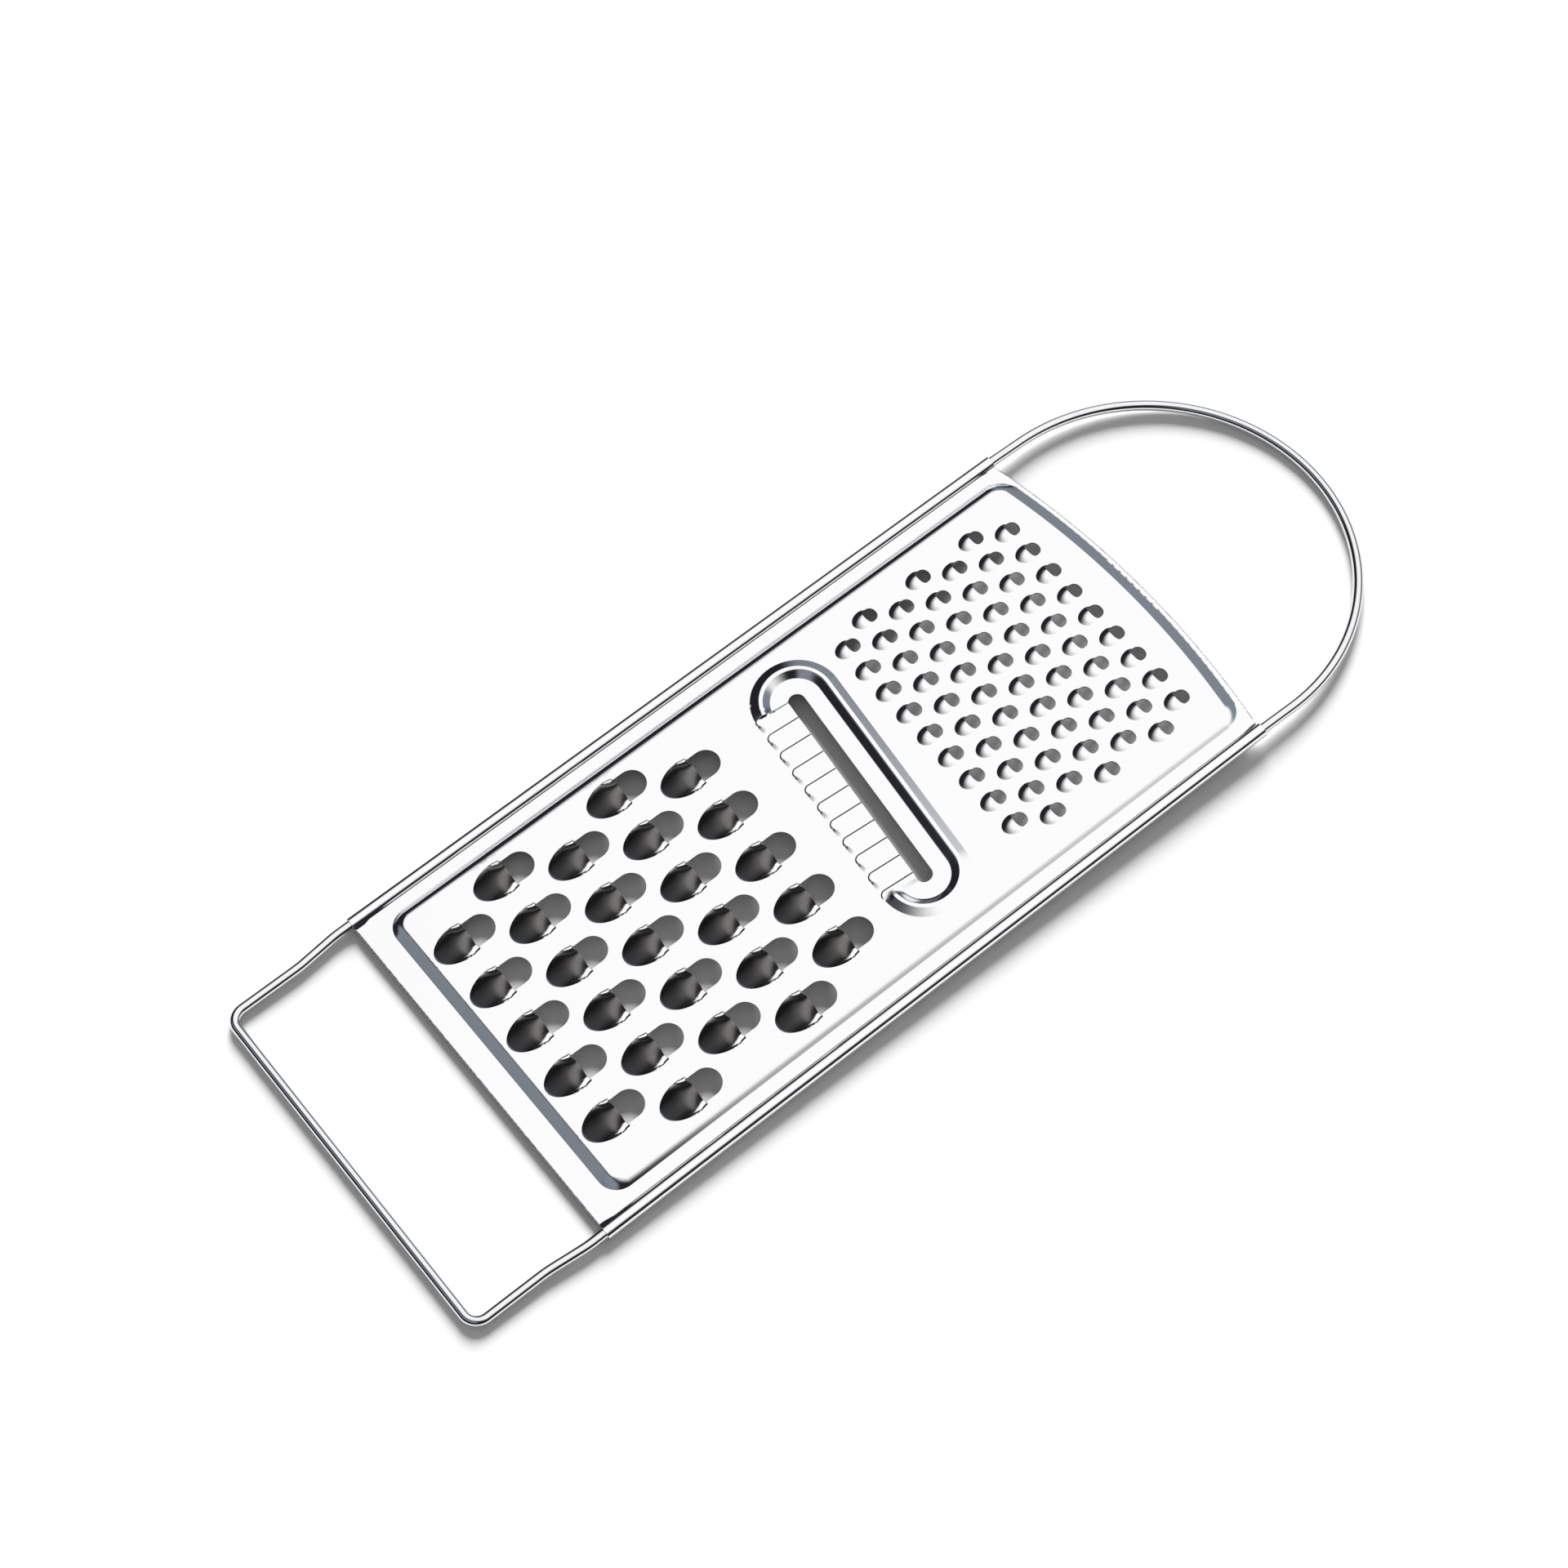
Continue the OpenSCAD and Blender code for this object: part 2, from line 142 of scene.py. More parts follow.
def ramp(x, foot=0.22, head=0.22):
    """0 to 1 over x 0..1: straight in the middle, rounded at its foot and its head."""
    x = np.clip(x, 0.0, 1.0)
    k = 1.0 / (1.0 - 0.5 * (foot + head))
    low = 0.5 * k * x * x / foot
    high = 1.0 - 0.5 * k * (1.0 - x) ** 2 / head
    mid = k * (x - 0.5 * foot)
    return np.where(x < foot, low, np.where(x > 1.0 - head, high, mid))


def smooth_max(a, b, k):
    """The larger of two heights, with a fillet where they meet above the panel."""
    d = np.clip(1.0 - np.abs(a - b) / k, 0.0, 1.0)
    return np.maximum(a, b) + 0.25 * k * d * d * np.clip(np.maximum(a, b) / k, 0.0, 1.0)


def panel_inside(x, y):
    """Distance inward from the outer edge of the panel's wall, and how far the wall there
    belongs to a long side, 0 to 1."""
    r = PANEL_CORNER
    side = PANEL_SIDE - np.abs(y)
    foot = x - PANEL_FOOT
    bow = PANEL_BOW - np.hypot(x - panel_bow_x, y)
    a = np.maximum(r - side, 0.0)
    b = np.maximum(r - np.minimum(foot, bow), 0.0)
    inner = np.minimum(np.minimum(side, foot), bow)
    corner = (a > 0) & (b > 0)
    share = np.where(corner, a / np.maximum(a + b, 1e-6), side < np.minimum(foot, bow))
    return np.where(corner, r - np.hypot(a, b), inner), share


def nearest_tooth(x, y, f):
    """Position from the cutting edge of the nearest tooth of a field."""
    y = y - TEETH_Y
    row = np.clip(np.round((x - f["start"] + f["reach"]) / f["row"]), 0, f["rows"] - 1)
    teeth = np.where(row % 2 == 0, f["count"] - 1, f["count"])
    i = np.clip(np.round(y / f["pitch"] + (teeth - 1) / 2), 0, teeth - 1)
    return x - (f["start"] + row * f["row"]), y - (i - (teeth - 1) / 2) * f["pitch"]


def coarse_outline(a):
    """Half the width of a coarse tooth's egg-shaped footprint, and of its hood."""
    q = np.clip(-a / EGG_LENGTH, 0.0, 1.0)
    end = np.sqrt(np.clip(1.0 - q ** 2.3, 0.0, 1.0))
    egg = (EGG_HALF + 0.35 * smoothstep(-a / 2.0)) * end
    hood = (HOOD_HALF + 0.8 * smoothstep(-a / 3.5)) * end
    return egg, np.maximum(hood, 0.05)


def coarse_parts(x, y):
    """Height of a coarse tooth's hood and of the raised shelf round it."""
    a, b = nearest_tooth(x, y, COARSE)
    b = np.abs(b)
    egg, half = coarse_outline(a)
    q = np.clip(-a / EGG_LENGTH, 0.0, 1.0)
    crown = HOOD_HEIGHT * (1.0 - q ** 1.6) * (1.0 - smoothstep(a / 0.5))
    t2 = np.clip((b / half) ** 2, 0.0, 1.0)
    back = smoothstep(-a / 4.0)
    bell = (1.0 - t2) ** 1.6 * (1.0 - back) + (1.0 - t2 ** 1.1) ** 0.8 * back
    shelf = SHELF_HEIGHT * ramp((egg - b) / 0.4, 0.15, 0.15)
    shelf = shelf * (1.0 - smoothstep(a / 0.25 - 0.4))
    shelf = shelf * smoothstep((a + 6.5) / 3.0)
    return crown * bell, shelf


def coarse_relief(x, y):
    """Height of the coarse teeth."""
    hood, shelf = coarse_parts(x, y)
    return smooth_max(hood, shelf, 0.3)


def hood_painted_shade(x, y):
    """1 on the drawn hoods of the coarse teeth, where shade is painted into the colour, 0 on the
    rest of the sheet.
    """
    hood, shelf = coarse_parts(x, y)
    level = smoothstep((hood - shelf * 1.3 + 0.05) / 0.3) * (hood > 0.02)
    return np.where(x < COARSE_END, level, 0.0)


def fine_relief(x, y):
    """Height of the fine teeth's low domes."""
    a, b = nearest_tooth(x, y, FINE)
    reach = np.where(a < 0.0, *FINE_REACH)
    rho2 = (a / reach) ** 2 + (b / FINE_HALF) ** 2
    return FINE_HEIGHT * np.clip(1.0 - rho2, 0.0, 1.0) ** 1.15


def slicer_place(x, y):
    """Position from the slicer's middle: across the slot, and along it."""
    dx, dy = x - SLICER_AT[0], y - SLICER_AT[1]
    c, s = math.cos(SLICER_LEAN), math.sin(SLICER_LEAN)
    return dx * c - dy * s, dx * s + dy * c


def finger_height(s, l):
    """Height of the crinkle fingers: flat, with a sharp step on their left and round the
    foot end, and a soft one on their right."""
    dl = (l + SLICER_LEN / 2 - FINGER_SHIFT) % FLUTE_PITCH - FLUTE_PITCH / 2
    half, r = FLUTE_PITCH / 2, FINGER_CORNER
    u = np.maximum(np.abs(dl) - (half - r), 0.0)
    v = np.maximum(-(s - FINGER_END - r), 0.0)
    turn = np.hypot(u, v)
    corner = (u > 0) & (v > 0)
    inside = np.where(corner, r - turn, np.minimum(half - np.abs(dl), s - FINGER_END))
    end_on = np.where(corner, v / np.maximum(turn, 0.01), s - FINGER_END < half - np.abs(dl))
    near = smoothstep((0.55 * FLUTE_PITCH / 2 - dl) / (0.5 * FLUTE_PITCH))
    far_width = 0.44 - 0.14 * end_on
    width = far_width * (1.0 - near) + 1.3 * near
    return FINGER_STEP * ramp(inside / width, 0.1, 0.12)


def slicer_relief(x, y):
    """Height of the blade on the foot side of the slot, and of the ring round the rest."""
    s, l = slicer_place(x, y)
    over = np.maximum(np.abs(l) - SLICER_LEN / 2, 0.0)
    e = np.hypot(s, over)
    rim = RIM_HEIGHT + 0.05 * np.clip(l / 30.0, -1.0, 1.0)
    land = LAND_DROP + (rim - RIM_HEIGHT)
    ring = rim * ramp((SLICER_R - e) / RIM_WIDTH, 0.1, 0.1)
    ring = ring - land * ramp((LAND_R - e) / LAND_WIDTH, 0.12, 0.15)
    blade = BLADE_RISE * ramp((s + 10.6) / 8.4, 0.3, 0.1) + finger_height(s, l)
    top = smoothstep((l - SLICER_LEN / 2 - 0.3) / 0.8)
    bottom = smoothstep((-l - SLICER_LEN / 2 + 0.8) / 2.6)
    t = np.where(s > 0, 1.0, np.maximum(top, bottom))
    return np.where(e < SLICER_R + 1.0, blade * (1.0 - t) + ring * t, 0.0)


def edge_roll(x, y):
    """How far the sheared foot and handle edges are rolled over."""
    d = np.minimum(x, BOW_R - np.hypot(x - bow_x, y))
    return EDGE_ROLL * np.clip(1.0 - d / EDGE_ROLL_WIDTH, 0.0, 1.0) ** 2


def relief(x, y):
    """Height of the sheet's middle over the middle of the rolled edges."""
    x, y = np.asarray(x, float), np.asarray(y, float)
    d, side = panel_inside(x, y)
    # the wall is narrower at the foot end
    width = WALL - FOOT_WALL_LESS * (1.0 - smoothstep((x - 8.0) / 40.0))
    wall = ramp(d / width, 0.08, 0.12) * (1.0 - side) + ramp(d / width, 0.06, 0.75) * side
    z = MARGIN_MID + PANEL_RISE * wall - edge_roll(x, y)
    z = z + np.where(x < COARSE_END, coarse_relief(x, y), 0.0)
    z = z + np.where(x > FINE_START, fine_relief(x, y), 0.0)
    return z + slicer_relief(x, y)


# The sheet as one surface
FILLET_TURN = math.pi / 2 - math.atan2(MARGIN_MID + FILLET, HALF_SPACING - flat_half)
HEM_TURN = math.radians(335)
HEM_START = math.pi - math.atan2(MARGIN_MID + FILLET, HALF_SPACING - flat_half)
W_FILLET = flat_half + FILLET * FILLET_TURN
W_END = W_FILLET + HEM_MID_R * HEM_TURN


def sheet_point(x, w):
    """Middle of the sheet: flat and pressed in the middle, rolled up beyond it."""
    x, w = np.asarray(x, float), np.asarray(w, float)
    aw = np.abs(w)
    side = np.sign(w)
    flat_y, flat_z = w, relief(x, w)
    turn = np.clip((aw - flat_half) / FILLET, 0.0, FILLET_TURN)
    fy = flat_half + FILLET * np.sin(turn)
    fz = MARGIN_MID + FILLET - FILLET * np.cos(turn)
    roll = HEM_START - np.clip((aw - W_FILLET) / HEM_MID_R, 0.0, HEM_TURN)
    hy = HALF_SPACING + HEM_MID_R * np.cos(roll)
    hz = HEM_MID_R * np.sin(roll)
    y = np.where(aw <= flat_half, flat_y, side * np.where(aw <= W_FILLET, fy, hy))
    z = np.where(aw <= flat_half, flat_z, np.where(aw <= W_FILLET, fz, hz))
    return np.stack([x, y, z], axis=-1)


def sheet_normal(x, w, eps=0.012):
    """Unit normal of the sheet, from its height close by on all sides."""
    along = sheet_point(x + eps, w) - sheet_point(x - eps, w)
    across = sheet_point(x, w + eps) - sheet_point(x, w - eps)
    n = np.cross(along, across)
    return n / np.linalg.norm(n, axis=-1, keepdims=True)


def arc(cx, cy, r, a0, a1, n):
    """Points along an arc of n steps."""
    a = np.linspace(a0, a1, n + 1)
    return np.stack([cx + r * np.cos(a), cy + r * np.sin(a)], axis=-1)


def tooth_places(f):
    """Middle of the cutting edge of each tooth of a field."""
    for row in range(f["rows"]):
        teeth = f["count"] - 1 if row % 2 == 0 else f["count"]
        for i in range(teeth):
            yield f["start"] + row * f["row"], TEETH_Y + (i - (teeth - 1) / 2) * f["pitch"]


def coarse_hole():
    """Hole outline from the cutting edge: square at the edge, round at the far end."""
    b = COARSE_HOLE_W * np.sin(np.linspace(-1, 1, 33) * math.pi / 2)
    lip = np.stack([np.zeros_like(b), b], axis=-1)
    straight = np.linspace(0.25, COARSE_HOLE_L - COARSE_HOLE_W - 0.4, 6)
    top = np.stack([straight, np.full_like(straight, COARSE_HOLE_W)], axis=-1)
    end = arc(COARSE_HOLE_L - COARSE_HOLE_W, 0, COARSE_HOLE_W, math.pi / 2, -math.pi / 2, 20)
    bottom = top[::-1] * [1, -1]
    return np.concatenate([lip, top, end, bottom])


def fine_hole():
    """Oval hole outline, blunt where it meets the cutting edge."""
    a = np.linspace(0, 2 * math.pi, 37)[:-1]
    c, s = np.cos(a), np.sin(a)
    flat = np.where(c < 0, np.sign(c) * np.abs(c) ** 0.55, c)
    return np.stack([FINE_HOLE_L / 2 * (1 + flat), FINE_HOLE_W * np.sign(s) * np.abs(s) ** 0.9],
                    axis=-1)


def slot_outline():
    """Outline of the slot, across and along the slicer."""
    h = SLICER_LEN / 2
    up = np.linspace(-h, h, 141)
    left = np.stack([np.full_like(up, -SLOT_R), up], axis=-1)
    top = arc(0, h, SLOT_R, math.pi, 0, 14)[1:-1]
    down = np.stack([np.full_like(up, SLOT_R), up[::-1]], axis=-1)
    bottom = arc(0, -h, SLOT_R, 0, -math.pi, 14)[1:-1]
    return np.concatenate([left, top, down, bottom])


def from_slicer(p):
    """Points across and along the slicer, turned to the sheet's x and y."""
    c, s = math.cos(SLICER_LEAN), math.sin(SLICER_LEAN)
    return np.stack([SLICER_AT[0] + p[:, 0] * c + p[:, 1] * s,
                     SLICER_AT[1] - p[:, 0] * s + p[:, 1] * c], axis=-1)


def coarse_samples():
    """Points over a coarse tooth, from its cutting edge, close together where it bends."""
    pts = []
    for a in np.concatenate([-np.geomspace(0.22, 8.0, 22), [-8.4, -8.7]]):
        egg, half = [float(v) for v in coarse_outline(a)]
        inner = half * np.array([0, .2, .35, .5, .62, .72, .8, .87, .93, .97, 1.0])
        outer = egg - np.array([.6, .4, .36, .3, .2, .1, .04, 0.0])
        rows = [v for v in inner if a > -2.0 or v < egg - 0.9]
        for b in rows + [o for o in outer if a > -2.0 and o > half * 1.04]:
            pts += [(a, b), (a, -b)] if b > 0 else [(a, 0.0)]
    for a in (0.0, 0.08, 0.15, 0.22, 0.3, 0.4, 0.6):
        for b in EGG_HALF - np.array([.55, .4, .36, .3, .2, .1, .04, 0.0, -.15]):
            pts += [(a, b), (a, -b)]
    # rings of points inside and just outside the footprint follow its curve
    for k in np.linspace(0.0, 1.0, 56):
        a = -EGG_LENGTH * math.sin(k * math.pi / 2)
        b = float(coarse_outline(a)[0])
        out = np.array([a + 3.0, b]) / math.hypot(a + 3.0, b)
        for d in (-0.7, -0.4, -0.34, -0.26, -0.18, -0.1, -0.04, 0.0, 0.06, 0.3, 0.9):
            if a > -2.1 and d <= 0.0:
                continue
            pts += [(a + out[0] * d, b + out[1] * d), (a + out[0] * d, -b - out[1] * d)]
    return np.array(pts)


def fine_samples():
    """Points over a fine tooth, in rings round its cutting edge."""
    pts = []
    for t in np.linspace(0, 2 * math.pi, 29)[:-1]:
        rx = FINE_REACH[0] if math.cos(t) < 0 else FINE_REACH[1]
        for k in (0.2, 0.36, 0.52, 0.66, 0.78, 0.88, 0.96, 1.03):
            pts.append((rx * k * math.cos(t), FINE_HALF * k * math.sin(t)))
    return np.array(pts)


def ring_samples():
    """Points in rings round the slicer's slot."""
    h = SLICER_LEN / 2
    pts = []
    for e in (11.4, 11.1, 10.98, 10.86, 10.4, 9.8, 9.2, 8.94, 8.82, 8.7, 8.5, 8.25, 8.12, 8.0,
              7.5, 7.0, 6.5, 6.35, 6.2, 6.0, 5.0, 3.5, 2.4):
        for l in np.arange(-h, h + 0.01, 2.0):
            pts.append((e, l))
        for t in np.linspace(0, math.pi, 30):
            pts.append((e * math.cos(t), h + e * math.sin(t)))
            pts.append((e * math.cos(t), -h - e * math.sin(t)))
    return pts


def finger_samples(line):
    """Points along the step between two fingers, and round their foot ends."""
    h = SLICER_LEN / 2
    pts = []
    for dl in (-2.3, -1.7, -1.2, -0.8, -0.5, -0.44, -0.38, -0.3, -0.2, -0.1, -0.04, 0.0, 0.06,
               0.15, 0.35, 0.7, 1.1, 1.3, 1.6, 2.2):
        if abs(line + dl) < h + 3.0:
            for s in np.concatenate([np.linspace(-11.1, -2.35, 12), [-2.2]]):
                pts.append((s, line + dl))
    middle = FINGER_END + FINGER_CORNER
    for k in (0.0, 0.05, 0.1, 0.2, 0.27, 0.32, 0.4, 0.44, 0.5, 0.8, 1.2):
        for t in np.linspace(math.pi / 2, math.pi, 10):
            r = FINGER_CORNER - k
            pts.append((middle + r * math.cos(t), line - FINGER_CORNER + r * math.sin(t)))
            pts.append((middle + r * math.cos(t), line + FINGER_CORNER - r * math.sin(t)))
        for dl in (1.9, 2.3, 2.7, 3.1, 3.5):
            pts.append((FINGER_END + k, line + dl))
    return pts


def slicer_samples():
    """Points over the whole slicer, in the sheet's own x and y."""
    h = SLICER_LEN / 2
    pts = ring_samples()
    for n in range(FLUTES + 1):
        pts += finger_samples(n * FLUTE_PITCH - h + FINGER_SHIFT)
    for l in np.concatenate([np.linspace(0.2, 1.2, 7), [1.6]]):
        for s in np.linspace(-10.8, -2.3, 16):
            pts.append((s, h + l))
    return from_slicer(np.array(pts))


def wall_samples():
    """Points along the panel's wall and along the two sheared edges."""
    pts = []
    yc = PANEL_SIDE - PANEL_CORNER
    turn = math.asin(yc / (PANEL_BOW - PANEL_CORNER))
    xf = PANEL_FOOT + PANEL_CORNER
    xh = panel_bow_x + (PANEL_BOW - PANEL_CORNER) * math.cos(turn)
    for d in (-0.25, 0, .3, .6, .9, 1.2, 1.6, 2.0, 2.4, 2.8, 3.0, 3.1, 3.2, 3.3, 3.4, 3.6):
        r = PANEL_CORNER - d
        for sy in (1, -1):
            for x in np.arange(xf, xh, 2.5):
                pts.append((x, sy * (PANEL_SIDE - d)))
            for p in arc(xf, yc, r, math.pi, math.pi / 2, 14):
                pts.append((p[0], sy * p[1]))
            for p in arc(xh, yc, r, math.pi / 2, turn, 14):
                pts.append((p[0], sy * p[1]))
        for y in np.arange(-yc, yc + 0.1, 2.5):
            pts.append((PANEL_FOOT + d, y))
        pts += [tuple(p) for p in arc(panel_bow_x, 0, PANEL_BOW - d, -turn, turn, 34)]
    # the foot end's wall is narrower
    for d in (2.2, 2.4, 2.55, 2.65, 2.75, 2.85, 2.95, 3.15):
        pts += [(PANEL_FOOT + d, y) for y in np.arange(-37.0, 37.1, 0.8)]
    # rows along the sheared edges
    reach = math.asin((flat_half - 0.3) / BOW_R)
    for d in (0.13, 0.25, 0.36, 0.5):
        pts += [(d, y) for y in np.arange(-flat_half + 0.5, flat_half - 0.4, 1.2)]
        pts += [tuple(p) for p in arc(bow_x, 0, BOW_R - d, -reach, reach, 80)]
    return np.array(pts)


def hem_stations():
    """Widths at which the sheet is cut across its fillet and rolled edge."""
    return np.concatenate([
        np.linspace(flat_half, W_FILLET, 6),
        np.linspace(W_FILLET, W_END, 27)[1:]])


def plate_outline(w_hem, x_stations):
    """Outline of the unrolled sheet, anticlockwise from the foot edge."""
    ys = np.linspace(-flat_half, flat_half, 73)
    bow = np.stack([bow_x + np.sqrt(BOW_R ** 2 - ys ** 2), ys], axis=-1)
    bow[0, 0] = bow[-1, 0] = PLATE_LENGTH
    foot_w = np.concatenate([-w_hem[::-1], ys[1:-1], w_hem])
    foot = np.stack([np.zeros_like(foot_w), foot_w], axis=-1)
    inner = x_stations[1:-1]
    rim_top = np.stack([inner, np.full(len(inner), W_END)], axis=-1)
    hand_top = np.stack([np.full(len(w_hem), PLATE_LENGTH), w_hem[::-1]], axis=-1)
    return np.concatenate([foot, rim_top, hand_top, bow[-2:0:-1], hand_top[::-1] * [1, -1],
                           rim_top[::-1] * [1, -1]])


def loose_points(border, w_hem, x_stations):
    """Points inside the sheet that carry its relief, without those that crowd the outlines."""
    cs, fs = coarse_samples(), fine_samples()
    loose = [cs + [x, y] for x, y in tooth_places(COARSE)]
    loose += [fs + [x, y] for x, y in tooth_places(FINE)]
    loose += [slicer_samples(), wall_samples()]
    hem = [(x, s * w) for x in x_stations[1:-1] for w in w_hem[:-1] for s in (1, -1)]
    loose.append(np.array(hem))
    loose = np.concatenate(loose)
    key = np.unique(np.round(loose / 0.04).astype(int), axis=0, return_index=True)[1]
    loose = loose[np.sort(key)]
    tree = KDTree(len(border))
    for i, p in enumerate(border):
        tree.insert((p[0], p[1], 0), i)
    tree.balance()
    keep = [tree.find((p[0], p[1], 0))[2] > 0.11 for p in loose]
    return loose[np.array(keep)]


def triangulate(loops, loose):
    """Points and triangles that fill the first loop and leave the other loops open."""
    border = np.concatenate(loops)
    verts = [Vector((p[0], p[1])) for p in np.concatenate([border, loose])]
    faces, at = [], 0
    for lp in loops:
        turn = np.sum(lp[:, 0] * np.roll(lp[:, 1], -1) - lp[:, 1] * np.roll(lp[:, 0], -1))
        face = list(range(at, at + len(lp)))
        faces.append(face if turn > 0 else face[::-1])
        at += len(lp)
    out_v, _, out_f, _, _, face_from = delaunay_2d_cdt(verts, [], faces, 1, 1e-5)
    tris = [f for f, src in zip(out_f, face_from) if list(src) == [0] and len(f) == 3]
    p2 = np.array([(v.x, v.y) for v in out_v])
    tris = np.array(tris)
    used = np.unique(tris)
    renum = -np.ones(len(p2), int)
    renum[used] = np.arange(len(used))
    p2, tris = p2[used], renum[tris]
    a, b, c = p2[tris[:, 0]], p2[tris[:, 1]], p2[tris[:, 2]]
    ab, ac = b - a, c - a
    area = ab[:, 0] * ac[:, 1] - ab[:, 1] * ac[:, 0]
    tris[area < 0] = tris[area < 0][:, ::-1]
    return p2, tris


def open_edges(tris):
    """Edges that belong to one triangle alone."""
    edges = {}
    for t in tris:
        for i in range(3):
            edges[(t[i], t[(i + 1) % 3])] = True
    return [(i, j) for (i, j) in edges if (j, i) not in edges]


def corner_normals(tris, rim, normal, top, under):
    """Normals for every corner: true ones on both faces, square ones on the cut edges."""
    corner = []
    for t in tris:
        corner += [normal[i] for i in t]
    for t in tris:
        corner += [-normal[i] for i in t[::-1]]
    for i, j in rim:
        side = np.cross(top[i] - top[j], under[j] - top[j])
        side = side / max(np.linalg.norm(side), 1e-9)
        corner += [side] * 4
    return np.array(corner).tolist()


def build_sheet():
    """Sheet as one closed mesh: top face, under face and cut edges, with true normals."""
    w_hem = hem_stations()
    x_stations = np.linspace(0, PLATE_LENGTH, 48)
    loops = [plate_outline(w_hem, x_stations)]
    loops += [coarse_hole() + [x, y] for x, y in tooth_places(COARSE)]
    loops += [fine_hole() + [x, y] for x, y in tooth_places(FINE)]
    loops.append(from_slicer(slot_outline()))
    p2, tris = triangulate(loops, loose_points(np.concatenate(loops), w_hem, x_stations))
    mid = sheet_point(p2[:, 0], p2[:, 1])
    normal = sheet_normal(p2[:, 0], p2[:, 1])
    n = len(p2)
    top, under = mid + normal * SHEET / 2, mid - normal * SHEET / 2
    rim = open_edges(tris)
    quads = [(j, i, i + n, j + n) for i, j in rim]
    faces = [tuple(t) for t in tris] + [tuple(t[::-1] + n) for t in tris] + quads
    mesh = bpy.data.meshes.new("grating_sheet")
    world = (np.concatenate([top, under]) - [ORIGIN_X, 0, ORIGIN_Z]) * MM
    mesh.from_pydata(world.tolist(), [], [list(map(int, f)) for f in faces])
    mesh.polygons.foreach_set("use_smooth", [True] * len(faces))
    # material slots: 0 the top face, 2 the under face, 1 the cut edges
    slots = np.zeros(len(faces), int)
    slots[len(tris):] = 2
    slots[2 * len(tris):] = 1
    mesh.polygons.foreach_set("material_index", slots)
    mesh.update()
    mesh.normals_split_custom_set(corner_normals(tris, rim, normal, top, under))
    # mask of the coarse teeth's hoods, for the shade painted into their colour and for their
    # rougher finish
    dull = mesh.attributes.new("hood_painted_shade", "FLOAT", "POINT")
    level = np.where(np.abs(p2[:, 1]) < flat_half, hood_painted_shade(p2[:, 0], p2[:, 1]), 0.0)
    dull.data.foreach_set("value", np.concatenate([level, level]))
    obj = bpy.data.objects.new("grating_sheet", mesh)
    bpy.context.scene.collection.objects.link(obj)
    return obj


# The wire frame
def wire_side():
    """Middle line of the wire's left side, from the foot bar to the start of the arch."""
    foot_half = HALF_SPACING - LEG_STEP
    slant = (LEG_STEP - 2 * LEG_BEND * (1 - math.cos(LEG_TURN))) / math.sin(LEG_TURN)
    length = 2 * LEG_BEND * math.sin(LEG_TURN) + slant * math.cos(LEG_TURN)
    side = []
    cx, r = FOOT_CORNER - FOOT_REACH, FOOT_CORNER
    for t in np.linspace(math.pi, math.pi / 2, 13):
        side.append((cx + r * math.cos(t), foot_half - r + r * math.sin(t), 0.0))
    leg = LEG_END - length
    for x in np.linspace(cx, leg, 5)[1:]:
        side.append((x, foot_half, 0.0))
    for t in np.linspace(0, LEG_TURN, 5)[1:]:
        side.append((leg + LEG_BEND * math.sin(t), foot_half + LEG_BEND * (1 - math.cos(t)), 0))
    for t in np.linspace(LEG_TURN, 0, 5):
        side.append((LEG_END - LEG_BEND * math.sin(t),
                     HALF_SPACING - LEG_BEND * (1 - math.cos(t)), 0.0))
    for x in np.linspace(0, DROOP_START, 30):
        side.append((x, HALF_SPACING, 0.0))
    for t in np.linspace(0, math.radians(DROOP), 5)[1:]:
        side.append((DROOP_START + DROOP_BEND * math.sin(t), HALF_SPACING,
                     DROOP_BEND * math.cos(t) - DROOP_BEND))
    return side


def wire_arch():
    """Middle line of the handle's arch, from the left side round to the right."""
    drop = math.radians(DROOP)
    sx = DROOP_START + DROOP_BEND * math.sin(drop)
    sz = DROOP_BEND * math.cos(drop) - DROOP_BEND
    arch = []
    for t in np.linspace(math.pi / 2, -math.pi / 2, 97):
        d = HANDLE_LEG + HALF_SPACING * math.cos(t)
        arch.append((sx + d * math.cos(drop), HALF_SPACING * math.sin(t), sz - d * math.sin(drop)))
    return arch


def wire_path():
    """Middle line of the wire as a closed loop of points."""
    side = wire_side()
    back = [(x, -y, z) for x, y, z in side[::-1]]
    half = HALF_SPACING - LEG_STEP - FOOT_CORNER
    bar = [(-FOOT_REACH, y, 0.0) for y in np.linspace(-half, half, 20)[1:-1]]
    return np.array(side + wire_arch() + back + bar)


def build_wire():
    """Wire as a round tube swept along its closed path."""
    path = wire_path()
    n, m = len(path), WIRE_SIDES
    ahead = np.roll(path, -1, axis=0) - np.roll(path, 1, axis=0)
    ahead /= np.linalg.norm(ahead, axis=1, keepdims=True)
    up = np.array([0, 0, 1.0])
    side = np.cross(up, ahead)
    side /= np.linalg.norm(side, axis=1, keepdims=True)
    over = np.cross(ahead, side)
    verts = []
    for k in range(m):
        a = 2 * math.pi * k / m
        verts.append(path + WIRE_R * (math.cos(a) * side + math.sin(a) * over))
    verts = np.stack(verts, axis=1).reshape(-1, 3)
    faces = []
    for i in range(n):
        for k in range(m):
            j, l = (i + 1) % n, (k + 1) % m
            faces.append((i * m + k, i * m + l, j * m + l, j * m + k)[::-1])
    mesh = bpy.data.meshes.new("frame_wire")
    mesh.from_pydata(((verts - [ORIGIN_X, 0, ORIGIN_Z]) * MM).tolist(), [], faces)
    mesh.polygons.foreach_set("use_smooth", [True] * len(faces))
    mesh.update()
    obj = bpy.data.objects.new("frame_wire", mesh)
    bpy.context.scene.collection.objects.link(obj)
    return obj


# Materials
DRAWN_ROUGH = 0.3


